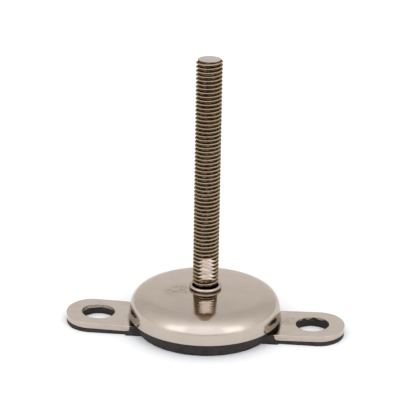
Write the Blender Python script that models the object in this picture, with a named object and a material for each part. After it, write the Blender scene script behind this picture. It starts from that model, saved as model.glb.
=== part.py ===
"""Stainless swivel levelling foot with two bolt-down lugs, on a rubber pad.

The threaded stud ends in a ball, which turns and leans in a socket under a
pressed steel dome.  A steel strap under the socket carries the two bolt-down
lugs, and a moulded rubber pad wraps the strap from below.

The lengths below are in millimetres, and the meshes are made in metres.  The
origin is the middle of the pad's underside, +Z points up the stud, and the
lugs lie along X.
"""
import math

import bmesh
import bpy
from mathutils import Matrix, Vector

MM = 0.001
GAP = 0.3                       # kept between pieces that rest on each other

# Stud: 1/2 in, 13 threads per inch
STUD_R = 6.35
THREAD_PITCH = 25.4 / 13
THREAD_DEPTH = 0.6134 * THREAD_PITCH
THREAD_LEAD_IN = 1.5            # turns of the helix hidden below the thread's lower end
STUD_TOP_Z = 138.0
STUD_CHAMFER = 0.9
NECK_R = 4.4
NECK_TOP_Z = 22.9
RELIEF_SLOPE = 1.0              # radius gained per height where the thread runs out
FLATS_ACROSS = 25.4 * 3 / 8     # two wrench flats milled into the lower thread
FLATS_LOW_Z = 27.2
FLATS_HIGH_Z = 38.8
FLATS_TURN_DEG = 12.0           # the flats' turn about the stud, from facing -Y and +Y

# Ball and socket
BALL_R = 7.7
BALL_Z = 12.6
BALL_FLAT_DROP = 5.2            # ball centre down to the flat cut on its bottom
SEAT_R = 9.6
SEAT_TOP_Z = 11.6
SEAT_FLOOR = 1.4
SEAL_TUBE_R = 0.52
SEAL_Z = 19.6

# Socket housing with its rolled collar
HOUSING_R = 12.5
HOUSING_TOP_Z = 19.5
HOUSING_BEVEL = 1.0
COLLAR_TUBE_R = 0.8
COLLAR_RING_R = 7.2
COLLAR_Z = 22.65
COLLAR_NECK_R = 7.0
WELD_LEG = 1.5

# Pressed dome
DOME_R = 37.5
DOME_WALL = 1.5
DOME_RIM_Z = 7.3
DOME_RIM_ROUND = 0.4
SIDE_R = 26.0                   # bulge of the side above the rim
RIM_EDGE_DEG = 88.0             # slope of the side at the rim
SIDE_EDGE_DEG = 74.0            # slope where the shoulder runs into the side
SHOULDER_R = 7.2                # radius of the rounded shoulder
BLEND_EDGE_DEG = 25.0           # slope where the blend runs into the shoulder
BLEND_R = 15.0                  # radius of the blend between crown and shoulder
CROWN_EDGE_DEG = 7.6            # slope where the crown runs into the blend

# Strap with the two lugs
STRAP_TOP_Z = 4.7
STRAP_THICK = 3.0
STRAP_HALF_WIDTH = 14.6
STRAP_HALF_LENGTH = 69.15
LUG_TIP_LENGTH = 13.0           # length of the rounded tip, an ellipse
LUG_HOLE_X = 53.3
LUG_HOLE_R = 8.2
LUG_BEND_X = 34.0
LUG_RISE_DEG = 1.4

# Rubber pad
PAD_R = 33.5
PAD_FOOT_ROUND = 0.5
PAD_TOP_R = DOME_R - DOME_WALL - GAP
PAD_SHOULDER_Z = 7.0
PAD_WALL_TOP_Z = 10.0
PAD_WALL = 3.0
PAD_BODY_TOP_Z = 4.4
PAD_HOLE_R = 8.5
PAD_TONGUE_INSET = 0.2
CHEEK_WIDTH = 1.1
CHEEK_TOP_Z = 4.9
CHEEK_END_X = 35.6
CHEEK_FILLET_R = 2.0            # between a cheek's end and the tongue below it
PAD_JOIN_INSET = 2.0            # how far the tongues and cheeks start inside the pad's edge
GROOVE_RADII = (9.0, 16.0, 23.0, 30.0)
GROOVE_WIDTH = 1.6
GROOVE_DEPTH = 0.6
DRILL_TOP_Z = 15.0              # clears the raised lugs

# Facets
ROUND_SEGMENTS = 48
SMALL_SEGMENTS = 32
STUD_SEGMENTS = 20
BALL_STEPS = 9
SEAL_STEPS = 8
CUP_STEPS = 6
COLLAR_STEPS = 9
THROAT_STEPS = 5
RIM_STEPS = 2
TIP_STEPS = 20
CHEEK_FILLET_STEPS = 5
CROWN_STEPS = 4
BLEND_STEPS = 2
SHOULDER_STEPS = 5
SIDE_STEPS = 2
WELD_DISTANCE = 0.001
CUTTER_EXTRA = 1.0              # how far a cutter passes the piece that it cuts
SMOOTH_ANGLE = math.radians(35)

STEEL = ("polished_stainless", (0.62, 0.58, 0.54), 1.0, 0.16)
THREAD_STEEL = ("threaded_stainless", (0.50, 0.44, 0.36), 1.0, 0.30)
SOCKET_STEEL = ("turned_steel", (0.55, 0.54, 0.52), 1.0, 0.30)
WELD_STEEL = ("weld_steel", (0.36, 0.33, 0.30), 1.0, 0.50)
ACETAL = ("white_acetal", (0.86, 0.85, 0.82), 0.0, 0.40)
SEAL_RUBBER = ("black_nitrile", (0.02, 0.02, 0.02), 0.0, 0.55)
PAD_RUBBER = ("grey_black_rubber", (0.045, 0.040, 0.038), 0.0, 0.70)


def clear_scene():
    for obj in list(bpy.data.objects):
        bpy.data.objects.remove(obj, do_unlink=True)


def material(spec):
    name, color, metallic, roughness = spec
    mat = bpy.data.materials.get(name)
    if mat is None:
        mat = bpy.data.materials.new(name)
        mat.use_nodes = True
        shader = mat.node_tree.nodes["Principled BSDF"]
        shader.inputs["Base Color"].default_value = (*color, 1.0)
        shader.inputs["Metallic"].default_value = metallic
        shader.inputs["Roughness"].default_value = roughness
        mat.diffuse_color = (*color, 1.0)
    return mat


def finish_object(name, bm, spec, origin_z=0.0):
    """Make a named object from a bmesh in mm, with its origin on the Z axis."""
    bmesh.ops.recalc_face_normals(bm, faces=bm.faces)
    bmesh.ops.translate(bm, verts=bm.verts, vec=(0.0, 0.0, -origin_z))
    bmesh.ops.scale(bm, verts=bm.verts, vec=(MM, MM, MM))
    mesh = bpy.data.meshes.new(name)
    bm.to_mesh(mesh)
    bm.free()
    mesh.shade_smooth()
    mesh.set_sharp_from_angle(angle=SMOOTH_ANGLE)
    mesh.materials.append(material(spec))
    obj = bpy.data.objects.new(name, mesh)
    obj.location = (0.0, 0.0, origin_z * MM)
    bpy.context.scene.collection.objects.link(obj)
    return obj


def arc(center_r, center_z, radius, start_deg, end_deg, steps):
    """Points on a circle in the r, z half-plane, both ends included."""
    points = []
    for i in range(steps + 1):
        angle = math.radians(start_deg + (end_deg - start_deg) * i / steps)
        points.append((center_r + radius * math.cos(angle), center_z + radius * math.sin(angle)))
    return points


def angle_at_height(radius, height):
    return math.degrees(math.asin(height / radius))


def turned(profile, segments, closed=True, bm=None):
    """Turn a profile of (r, z) points about the Z axis, as a ring if it is closed."""
    if bm is None:
        bm = bmesh.new()
    rings = []
    for r, z in profile:
        if r == 0.0:
            rings.append([bm.verts.new((0.0, 0.0, z))] * segments)
            continue
        ring = []
        for j in range(segments):
            angle = 2 * math.pi * j / segments
            ring.append(bm.verts.new((r * math.cos(angle), r * math.sin(angle), z)))
        rings.append(ring)
    span_count = len(rings) if closed else len(rings) - 1
    for i in range(span_count):
        ring = rings[i]
        above = rings[(i + 1) % len(rings)]
        for j in range(segments):
            k = (j + 1) % segments
            corners = [ring[j], ring[k], above[k], above[j]]
            corners = list(dict.fromkeys(corners))
            if len(corners) > 2:
                bm.faces.new(corners)
    return bm


def extruded(outline, low_z, high_z):
    """Extrude a closed outline of (x, y) points from low_z to high_z."""
    bm = bmesh.new()
    low = [bm.verts.new((x, y, low_z)) for x, y in outline]
    high = [bm.verts.new((x, y, high_z)) for x, y in outline]
    bm.faces.new(low)
    bm.faces.new(high)
    for i in range(len(outline)):
        k = (i + 1) % len(outline)
        bm.faces.new((low[i], low[k], high[k], high[i]))
    return bm


def extruded_across(outline, half_width):
    """Extrude a closed outline of (x, z) points along Y, as far each way."""
    bm = extruded(outline, -half_width, half_width)
    for vert in bm.verts:
        vert.co = (vert.co.x, vert.co.z, vert.co.y)
    return bm


def box(low, high):
    outline = [(low[0], low[1]), (high[0], low[1]), (high[0], high[1]), (low[0], high[1])]
    return extruded(outline, low[2], high[2])


def cylinder(radius, low_z, high_z, segments, center_x=0.0):
    outline = []
    for j in range(segments):
        angle = 2 * math.pi * j / segments
        outline.append((center_x + radius * math.cos(angle), radius * math.sin(angle)))
    return extruded(outline, low_z, high_z)


def tool(name, bm, spec, origin_z=0.0):
    """A guide body that only cuts or joins another piece."""
    obj = finish_object(name, bm, spec, origin_z)
    obj.hide_render = True
    obj.display_type = "WIRE"
    return obj


def combine(obj, other, operation):
    modifier = obj.modifiers.new(other.name, "BOOLEAN")
    modifier.operation = operation
    modifier.solver = "EXACT"
    modifier.object = other


def stud_limit(z):
    """Largest stud radius at a height: the chamfer on top, the relief below."""
    chamfer_r = STUD_R - STUD_CHAMFER + (STUD_TOP_Z - z)
    relief_r = NECK_R + RELIEF_SLOPE * (z - NECK_TOP_Z)
    return min(STUD_R, chamfer_r, relief_r)


def add_thread(bm, segments):
    """A right-hand V thread as an open tube that ends in a flat ring each way."""
    start_z = NECK_TOP_Z - THREAD_LEAD_IN * THREAD_PITCH
    row_count = 2 * math.ceil((STUD_TOP_Z - start_z) / THREAD_PITCH + 1)

    def point(row, column):
        angle = 2 * math.pi * column / segments
        z = start_z + THREAD_PITCH * (row / 2 + column / segments)
        z = min(max(z, NECK_TOP_Z), STUD_TOP_Z)
        radius = stud_limit(z)
        if NECK_TOP_Z < z < STUD_TOP_Z and row % 2 == 0:
            radius = min(radius, STUD_R - THREAD_DEPTH)
        return bm.verts.new((radius * math.cos(angle), radius * math.sin(angle), z))

    rows = [[point(row, column) for column in range(segments)] for row in range(row_count + 1)]
    seam = [row[0] for row in rows]
    seam.append(point(row_count + 1, 0))
    seam.append(point(row_count + 2, 0))

    def step(row, column):
        if column + 1 < segments:
            return rows[row][column + 1]
        return seam[row + 2]

    for row in range(row_count):
        for column in range(segments):
            corners = (rows[row][column], step(row, column), step(row + 1, column), rows[row + 1][column])
            bm.faces.new(corners)


def make_ball_stud():
    flat_angle = angle_at_height(BALL_R, -BALL_FLAT_DROP)
    neck_angle = math.degrees(math.acos(NECK_R / BALL_R))
    profile = [(0.0, BALL_Z - BALL_FLAT_DROP)]
    profile += arc(0.0, BALL_Z, BALL_R, flat_angle, neck_angle, BALL_STEPS)
    profile += [(NECK_R, NECK_TOP_Z)]
    bm = turned(profile, STUD_SEGMENTS, closed=False)
    add_thread(bm, STUD_SEGMENTS)
    top_face = [(0.0, STUD_TOP_Z), (stud_limit(STUD_TOP_Z), STUD_TOP_Z)]
    turned(top_face, STUD_SEGMENTS, closed=False, bm=bm)
    bmesh.ops.remove_doubles(bm, verts=bm.verts, dist=WELD_DISTANCE)
    bmesh.ops.dissolve_degenerate(bm, edges=bm.edges, dist=WELD_DISTANCE)
    stud = finish_object("ball_stud", bm, THREAD_STEEL, BALL_Z)
    for side, name in ((-1, "front_flat"), (1, "rear_flat")):
        near_y, far_y = sorted((side * FLATS_ACROSS / 2, side * (STUD_R + CUTTER_EXTRA)))
        reach_x = STUD_R + CUTTER_EXTRA
        cutter = box((-reach_x, near_y, FLATS_LOW_Z), (reach_x, far_y, FLATS_HIGH_Z))
        turn = Matrix.Rotation(math.radians(FLATS_TURN_DEG), 3, "Z")
        bmesh.ops.rotate(cutter, verts=cutter.verts, matrix=turn)
        combine(stud, tool(name, cutter, THREAD_STEEL), "DIFFERENCE")
    return stud


def make_neck_seal():
    ring_r = NECK_R + GAP / 2 + SEAL_TUBE_R
    profile = arc(ring_r, SEAL_Z, SEAL_TUBE_R, 0, 360, SEAL_STEPS)[:-1]
    return finish_object("neck_seal", turned(profile, SMALL_SEGMENTS), SEAL_RUBBER, BALL_Z)


def make_ball_seat():
    bottom_z = STRAP_TOP_Z + GAP
    floor_z = bottom_z + SEAT_FLOOR
    cup_r = BALL_R + GAP
    rim_angle = angle_at_height(cup_r, SEAT_TOP_Z - BALL_Z)
    floor_angle = angle_at_height(cup_r, floor_z - BALL_Z)
    profile = [(0.0, bottom_z), (SEAT_R, bottom_z), (SEAT_R, SEAT_TOP_Z)]
    profile += arc(0.0, BALL_Z, cup_r, rim_angle, floor_angle, CUP_STEPS)
    profile += [(0.0, floor_z)]
    return finish_object("ball_seat", turned(profile, SMALL_SEGMENTS), ACETAL, BALL_Z)


def make_socket_housing():
    bottom_z = STRAP_TOP_Z + GAP
    cup_r = BALL_R + GAP
    mouth_r = COLLAR_RING_R - COLLAR_TUBE_R
    throat_angle = math.degrees(math.acos(mouth_r / cup_r))
    bore_r = SEAT_R + GAP
    profile = [(bore_r, bottom_z), (HOUSING_R, bottom_z)]
    profile += [(HOUSING_R, HOUSING_TOP_Z - HOUSING_BEVEL), (HOUSING_R - HOUSING_BEVEL, HOUSING_TOP_Z)]
    profile += [(COLLAR_NECK_R, HOUSING_TOP_Z), (COLLAR_NECK_R, COLLAR_Z - COLLAR_TUBE_R)]
    profile += arc(COLLAR_RING_R, COLLAR_Z, COLLAR_TUBE_R, -90, 180, COLLAR_STEPS)
    profile += arc(0.0, BALL_Z, cup_r, throat_angle, 0, THROAT_STEPS)
    profile += [(cup_r, SEAT_TOP_Z + GAP), (bore_r, SEAT_TOP_Z + GAP)]
    return finish_object("socket_housing", turned(profile, SMALL_SEGMENTS), SOCKET_STEEL)


def make_housing_weld():
    inner_r = HOUSING_R + GAP
    bottom_z = STRAP_TOP_Z + GAP
    profile = [(inner_r, bottom_z), (inner_r + WELD_LEG, bottom_z), (inner_r, bottom_z + WELD_LEG)]
    return finish_object("housing_weld", turned(profile, SMALL_SEGMENTS), WELD_STEEL)


def dome_outside():
    """Outer profile of the dome from its centre hole to its rim, with slopes.

    Below the crown, three arcs run into each other, and each one's centre is
    found from the arc below it.
    """
    arcs = []
    center_r = DOME_R - SIDE_R * math.sin(math.radians(RIM_EDGE_DEG))
    center_z = DOME_RIM_Z + DOME_RIM_ROUND - SIDE_R * math.cos(math.radians(RIM_EDGE_DEG))
    radius = SIDE_R
    end = math.radians(RIM_EDGE_DEG)
    stretches = ((SHOULDER_R, SIDE_EDGE_DEG, SIDE_STEPS), (BLEND_R, BLEND_EDGE_DEG, SHOULDER_STEPS),
                 (BLEND_R, CROWN_EDGE_DEG, BLEND_STEPS))
    for next_radius, edge_deg, steps in stretches:
        start = math.radians(edge_deg)
        for i in range(steps):
            angle = end + (start - end) * i / steps
            arcs.append((center_r + radius * math.sin(angle), center_z + radius * math.cos(angle), angle))
        center_r += (radius - next_radius) * math.sin(start)
        center_z += (radius - next_radius) * math.cos(start)
        radius = next_radius
        end = start
    crown_edge_r = center_r + radius * math.sin(end)
    crown_edge_z = center_z + radius * math.cos(end)
    hole_r = COLLAR_NECK_R + GAP
    points = []
    for i in range(CROWN_STEPS + 1):
        r = hole_r + (crown_edge_r - hole_r) * i / CROWN_STEPS
        slope = math.tan(end) * r / crown_edge_r
        rise = math.tan(end) * (crown_edge_r ** 2 - r ** 2) / (2 * crown_edge_r)
        points.append((r, crown_edge_z + rise, math.atan(slope)))
    return points + arcs[::-1]


def make_dome_shell():
    outside = dome_outside()
    hole_r = outside[0][0]
    profile = [(r, z) for r, z, _ in outside]
    rim_center_z = DOME_RIM_Z + DOME_RIM_ROUND
    profile += arc(DOME_R - DOME_RIM_ROUND, rim_center_z, DOME_RIM_ROUND, 0, -90, RIM_STEPS)
    inner_r = DOME_R - DOME_WALL
    profile += arc(inner_r + DOME_RIM_ROUND, rim_center_z, DOME_RIM_ROUND, -90, -180, RIM_STEPS)
    for r, z, angle in reversed(outside[1:]):
        profile.append((r - DOME_WALL * math.sin(angle), z - DOME_WALL * math.cos(angle)))
    profile.append((hole_r, outside[0][1] - DOME_WALL))
    return finish_object("dome_shell", turned(profile, ROUND_SEGMENTS), STEEL)


def strap_outline(half_length, half_width, tip_length):
    """A long strap with a half ellipse at each end."""
    center_x = half_length - tip_length
    points = []
    for side in (1, -1):
        for i in range(TIP_STEPS + 1):
            angle = -math.pi / 2 + math.pi * i / TIP_STEPS
            x = center_x + tip_length * math.cos(angle)
            points.append((side * x, side * half_width * math.sin(angle)))
    return points


def lift_lugs(bm, lowest_z):
    """Bend what lies outside the dome and above lowest_z up by the lug's rise."""
    for side in (1, -1):
        geometry = bm.verts[:] + bm.edges[:] + bm.faces[:]
        bmesh.ops.bisect_plane(bm, geom=geometry, plane_co=(side * LUG_BEND_X, 0, 0), plane_no=(1, 0, 0))
    slope = math.tan(math.radians(LUG_RISE_DEG))
    for vert in bm.verts:
        if vert.co.z > lowest_z:
            vert.co.z += max(0.0, abs(vert.co.x) - LUG_BEND_X) * slope


def make_lug_plate():
    outline = strap_outline(STRAP_HALF_LENGTH, STRAP_HALF_WIDTH, LUG_TIP_LENGTH)
    bm = extruded(outline, STRAP_TOP_Z - STRAP_THICK, STRAP_TOP_Z)
    lift_lugs(bm, 0.0)
    plate = finish_object("lug_plate", bm, STEEL)
    for side, name in ((1, "right_plate_hole"), (-1, "left_plate_hole")):
        drill = cylinder(LUG_HOLE_R, -CUTTER_EXTRA, DRILL_TOP_Z, SMALL_SEGMENTS, side * LUG_HOLE_X)
        combine(plate, tool(name, drill, STEEL), "DIFFERENCE")
    return plate


def pad_profile():
    profile = [(0.0, 0.0)]
    for r in GROOVE_RADII:
        profile += [(r - GROOVE_WIDTH / 2, 0.0), (r - GROOVE_WIDTH / 2, GROOVE_DEPTH)]
        profile += [(r + GROOVE_WIDTH / 2, GROOVE_DEPTH), (r + GROOVE_WIDTH / 2, 0.0)]
    profile += [(PAD_R - PAD_FOOT_ROUND, 0.0), (PAD_R, PAD_FOOT_ROUND)]
    profile += [(PAD_TOP_R, PAD_SHOULDER_Z), (PAD_TOP_R, PAD_WALL_TOP_Z)]
    profile += [(PAD_TOP_R - PAD_WALL, PAD_WALL_TOP_Z), (PAD_TOP_R - PAD_WALL, PAD_BODY_TOP_Z)]
    profile += [(0.0, PAD_BODY_TOP_Z)]
    return profile


def cheek_outline(side, start_x, floor_z):
    """Side view of the rubber beside the strap, which sweeps out along the tongue."""
    foot_x = CHEEK_END_X + CHEEK_FILLET_R
    outline = [(start_x, 0.0), (foot_x, 0.0)]
    outline += arc(foot_x, floor_z + CHEEK_FILLET_R, CHEEK_FILLET_R, 270, 180, CHEEK_FILLET_STEPS)
    outline += [(CHEEK_END_X, CHEEK_TOP_Z), (start_x, CHEEK_TOP_Z)]
    return [(side * x, z) for x, z in outline]


def make_rubber_pad():
    pad = finish_object("rubber_pad", turned(pad_profile(), ROUND_SEGMENTS), PAD_RUBBER)
    slot_floor_z = STRAP_TOP_Z - STRAP_THICK - GAP

    tongue_half_width = STRAP_HALF_WIDTH - PAD_TONGUE_INSET
    tongue_half_length = STRAP_HALF_LENGTH - PAD_TONGUE_INSET
    outline = strap_outline(tongue_half_length, tongue_half_width, LUG_TIP_LENGTH)
    join_r = PAD_R - PAD_JOIN_INSET
    inner_x = math.sqrt(join_r ** 2 - tongue_half_width ** 2)
    cheek_half_width = STRAP_HALF_WIDTH + CHEEK_WIDTH
    cheek_start_x = math.sqrt(join_r ** 2 - cheek_half_width ** 2)
    for side, name in ((1, "right"), (-1, "left")):
        half = [(x if side * x > 0 else side * inner_x, y) for x, y in outline]
        half = list(dict.fromkeys(half))
        tongue = extruded(half, 0.0, slot_floor_z)
        lift_lugs(tongue, slot_floor_z / 2)
        combine(pad, tool(name + "_tongue", tongue, PAD_RUBBER), "UNION")
        cheeks = extruded_across(cheek_outline(side, cheek_start_x, slot_floor_z), cheek_half_width)
        combine(pad, tool(name + "_cheeks", cheeks, PAD_RUBBER), "UNION")

    slot_x = CHEEK_END_X + CHEEK_FILLET_R + CUTTER_EXTRA
    slot_y = STRAP_HALF_WIDTH + GAP
    slot = box((-slot_x, -slot_y, slot_floor_z), (slot_x, slot_y, STRAP_TOP_Z + GAP))
    combine(pad, tool("strap_slot", slot, PAD_RUBBER), "DIFFERENCE")
    for side, name in ((1, "right_pad_hole"), (-1, "left_pad_hole")):
        drill = cylinder(PAD_HOLE_R, -CUTTER_EXTRA, DRILL_TOP_Z, SMALL_SEGMENTS, side * LUG_HOLE_X)
        combine(pad, tool(name, drill, PAD_RUBBER), "DIFFERENCE")
    return pad


def parent_to(child, parent):
    """Hang a piece on an empty and leave it where it stands."""
    child.parent = parent
    child.matrix_parent_inverse = Matrix.Translation(-Vector(parent.location))


def main():
    clear_scene()
    make_rubber_pad()
    make_lug_plate()
    make_housing_weld()
    make_socket_housing()
    make_dome_shell()

    ball_center = bpy.data.objects.new("ball_center", None)
    ball_center.location = (0.0, 0.0, BALL_Z * MM)
    bpy.context.scene.collection.objects.link(ball_center)
    for piece in (make_ball_seat(), make_neck_seal(), make_ball_stud()):
        parent_to(piece, ball_center)


main()
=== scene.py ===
"""The finished look of a stainless swivel levelling foot with two bolt-down lugs.

Every CAD node is replaced by a finer mesh of the same piece: the stud with its
rolled thread and wrench flats, the pressed dome, the rolled collar, the lug
strap, the moulded rubber pad, and the parts hidden inside.  Only the thin rubber
flash in the bolt holes has no CAD node.  Lengths below are in millimetres unless
a name says otherwise, and each mesh is made in metres.
"""

import math

import bmesh
import bpy
from mathutils import Matrix, Vector, noise


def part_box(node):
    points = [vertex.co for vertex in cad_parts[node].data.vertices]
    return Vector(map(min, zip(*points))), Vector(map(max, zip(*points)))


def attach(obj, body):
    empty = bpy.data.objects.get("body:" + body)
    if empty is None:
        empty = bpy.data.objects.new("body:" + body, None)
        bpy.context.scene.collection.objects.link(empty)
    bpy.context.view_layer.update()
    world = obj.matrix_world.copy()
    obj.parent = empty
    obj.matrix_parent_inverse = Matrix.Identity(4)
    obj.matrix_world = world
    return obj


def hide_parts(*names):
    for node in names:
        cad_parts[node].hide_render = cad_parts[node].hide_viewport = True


MM = 0.001
INCH = 25.4

# Stud: 1/2 in, 13 threads per inch, as a rolled thread
THREAD_MAJOR_R = INCH / 4
THREAD_PITCH = INCH / 13
THREAD_DEPTH = 0.6134 * THREAD_PITCH
THREAD_FLANK_DEG = 30.0
THREAD_LEAD_IN = 1.5            # turns of the helix hidden below the thread's lower end
CREST_HALF_WIDTH = 0.06         # half the crest's flat, in pitches
CREST_ROUND = 0.03              # drop of the crest's edges
CREST_LEVEL_SHARE = 0.7         # level share of the crest's flat
FLANK_SHARES = (0.33, 0.66, 0.93)   # points on each flank, as shares of its depth
ROOT_EDGE_SHARE = 0.4           # a point this far from the root's edge to its middle
ROOT_EDGE_DEPTH = 0.99          # lies at this share of the thread's depth
STUD_CHAMFER = 0.9
NECK_R = 4.4
NECK_TOP_Z = 22.9
RELIEF_SLOPE = 1.0              # radius gained per height where the thread runs out
FLATS_ACROSS = INCH * 3 / 8
FLATS_LOW_Z = 27.2
FLATS_HIGH_Z = 38.8
FLATS_TURN_DEG = 12.0
FLAT_TOLERANCE = 0.01           # how near a face must lie to count as milled
FLAT_ALIGNMENT = 0.99           # and how squarely it must face
BALL_R = 7.7
BALL_Z = 12.6
BALL_FLAT_DROP = 5.2

# Socket
SEAT_R = 9.6
SEAT_TOP_Z = 11.6
SEAT_FLOOR = 1.4
SEAT_EDGE = 0.35
SEAL_TUBE_R = 0.52
SEAL_Z = 19.6
FIT_GAP = 0.3
HOUSING_R = 12.5
HOUSING_TOP_Z = 19.5
HOUSING_BEVEL = 1.0
COLLAR_TUBE_R = 0.8
COLLAR_RING_R = 7.2
COLLAR_Z = 22.65
COLLAR_NECK_R = 7.0
WELD_LEG = 1.5
WELD_BULGE = 0.1
WELD_RIPPLES = 60
WELD_RIPPLE_HEIGHT = 0.06
WELD_RIPPLE_LAG = 2.0           # radians a ripple trails from the bead's foot to its top

# Dome
DOME_WALL = 1.5
DOME_RIM_ROUND = 0.4
SIDE_R = 26.0
RIM_EDGE_DEG = 88.0             # slopes at the ends of the arcs, from the rim up
SIDE_EDGE_DEG = 74.0
SHOULDER_R = 7.2
BLEND_EDGE_DEG = 25.0
BLEND_R = 15.0                  # between crown and shoulder
CROWN_EDGE_DEG = 7.6

# Strap and lugs
STRAP_TOP_Z = 4.7
STRAP_THICK = 3.0
STRAP_EDGE = 0.3
LUG_TIP_LENGTH = 13.0
LUG_HOLE_X = 53.3
LUG_HOLE_R = 8.2
HOLE_EDGE = 0.2
LUG_BEND_X = 34.0
LUG_RISE_DEG = 1.4

# Rubber pad
PAD_R = 33.5
PAD_FOOT_ROUND = 0.5
PAD_SHOULDER_Z = 7.0
PAD_WALL_TOP_Z = 10.0
PAD_WALL = 3.0
PAD_BODY_TOP_Z = 4.4
PAD_HOLE_R = 8.5
PAD_TONGUE_INSET = 0.2
PAD_JOIN_INSET = 2.0
CHEEK_WIDTH = 1.1
CHEEK_TOP_Z = 4.9
CHEEK_END_X = 35.6
CHEEK_FILLET_R = 2.0            # between a cheek's end and the tongue below it
GROOVE_RADII = (9.0, 16.0, 23.0, 30.0)
GROOVE_WIDTH = 1.6
GROOVE_DEPTH = 0.6
CUTTER_EXTRA = 1.0
DRILL_TOP_Z = 15.0
FLASH_INNER_R = 7.8
FLASH_OUTER_R = 8.15
FLASH_FOOT_R = 8.8
FLASH_START_DEG = 12.0
FLASH_END_DEG = 172.0
FLASH_STEPS = 120
FLASH_TEETH = 9.0
FLASH_DROP = {1: 0.75, -1: 1.75}    # below the lug's top, by side
FLASH_RAG = {1: 1.6, -1: 0.35}
FLASH_NOISE_ROW = 3.7           # keeps the two ragged edges unlike
FLASH_LEAST_DROP = 0.15
FLASH_END_SHARE = 0.1           # share of the arc over which each end tapers
FLASH_END_FALL = 12.0
FLASH_LIP_DROP = 0.1            # the top is this much lower on its inner side
RUBBER_VOXEL = 0.35
RUBBER_SMOOTHING = 4            # passes
RUBBER_SMOOTH_FACTOR = 0.5
RUBBER_WAVE = 0.12              # how far the moulded surface wanders
RUBBER_WAVE_FREQUENCY = 0.45    # per mm
RUBBER_CALM_Z = 0.6             # the wander fades out from this height down to the floor

# Facets
ROUND_SEGMENTS = 256
SMALL_SEGMENTS = 160
STUD_SEGMENTS = 96
TIP_STEPS = 64
CROWN_STEPS = 28
BLEND_STEPS = 14
SHOULDER_STEPS = 30
SIDE_STEPS = 16
RIM_STEPS = 8
BALL_STEPS = 40
CUP_STEPS = 30
THROAT_STEPS = 24
COLLAR_STEPS = 40
BEVEL_STEPS = 8
SEAL_STEPS = 24
EDGE_STEPS = 5
FILLET_STEPS = 12
BEAD_STEPS = 8
RIPPLE_SEGMENTS = 6
MERGE_DISTANCE = 0.001
SMOOTH_ANGLE = math.radians(40)

# Camera and light
CAMERA_LENS = 152.92
CAMERA_SENSOR = 36.0
CAMERA_CLIP_M = (0.01, 100.0)
CAMERA_AZIMUTH_DEG = 5.695
CAMERA_ELEVATION_DEG = 21.111
CAMERA_ROLL_DEG = 1.073
CAMERA_DISTANCE = 854.056
CAMERA_AIM_RIGHT = 0.56
CAMERA_AIM_Z = 63.309
FLOOR_HALF_M = 8.0
FLOOR_COLOR = (0.80, 0.80, 0.80, 1.0)
FLOOR_ROUGHNESS = 0.9


# ---------------------------------------------------------------- mesh tools

def arc(center_r, center_z, radius, start_deg, end_deg, steps):
    """Points on a circle in the r, z half-plane, both ends included."""
    points = []
    for i in range(steps + 1):
        angle = math.radians(start_deg + (end_deg - start_deg) * i / steps)
        points.append((center_r + radius * math.cos(angle), center_z + radius * math.sin(angle)))
    return points


def angle_at_height(radius, height):
    return math.degrees(math.asin(height / radius))


def turned(profile, segments, closed=True, bm=None):
    """Turn a profile of (r, z) points about the Z axis, as a ring if it is closed."""
    if bm is None:
        bm = bmesh.new()
    rings = []
    for r, z in profile:
        if r == 0.0:
            rings.append([bm.verts.new((0.0, 0.0, z))] * segments)
            continue
        ring = []
        for j in range(segments):
            angle = 2 * math.pi * j / segments
            ring.append(bm.verts.new((r * math.cos(angle), r * math.sin(angle), z)))
        rings.append(ring)
    span_count = len(rings) if closed else len(rings) - 1
    for i in range(span_count):
        ring = rings[i]
        above = rings[(i + 1) % len(rings)]
        for j in range(segments):
            k = (j + 1) % segments
            corners = list(dict.fromkeys([ring[j], ring[k], above[k], above[j]]))
            if len(corners) > 2:
                bm.faces.new(corners)
    return bm


def extruded(outline, low_z, high_z):
    bm = bmesh.new()
    low = [bm.verts.new((x, y, low_z)) for x, y in outline]
    high = [bm.verts.new((x, y, high_z)) for x, y in outline]
    bm.faces.new(low)
    bm.faces.new(high)
    for i in range(len(outline)):
        k = (i + 1) % len(outline)
        bm.faces.new((low[i], low[k], high[k], high[i]))
    return bm


def extruded_across(outline, half_width):
    """Extrude a closed outline of (x, z) points along Y, as far each way."""
    bm = extruded(outline, -half_width, half_width)
    for vert in bm.verts:
        vert.co = (vert.co.x, vert.co.z, vert.co.y)
    return bm


def box(low, high):
    outline = [(low[0], low[1]), (high[0], low[1]), (high[0], high[1]), (low[0], high[1])]
    return extruded(outline, low[2], high[2])


def circle(radius, segments, center_x=0.0):
    points = []
    for j in range(segments):
        angle = 2 * math.pi * j / segments
        points.append((center_x + radius * math.cos(angle), radius * math.sin(angle)))
    return points


def strap_outline(half_length, half_width):
    """A long strap with a half ellipse at each end, anticlockwise."""
    center_x = half_length - LUG_TIP_LENGTH
    points = []
    for side in (1, -1):
        for i in range(TIP_STEPS + 1):
            angle = -math.pi / 2 + math.pi * i / TIP_STEPS
            x = center_x + LUG_TIP_LENGTH * math.cos(angle)
            points.append((side * x, side * half_width * math.sin(angle)))
    return points


def inset_outline(points, distance):
    """Move an outline to its left, which is inwards if it runs anticlockwise."""
    moved = []
    for i, point in enumerate(points):
        before = Vector(points[i - 1])
        after = Vector(points[(i + 1) % len(points)])
        here = Vector(point)
        tangent = ((here - before).normalized() + (after - here).normalized()).normalized()
        moved.append((here.x - tangent.y * distance, here.y + tangent.x * distance))
    return moved


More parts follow.
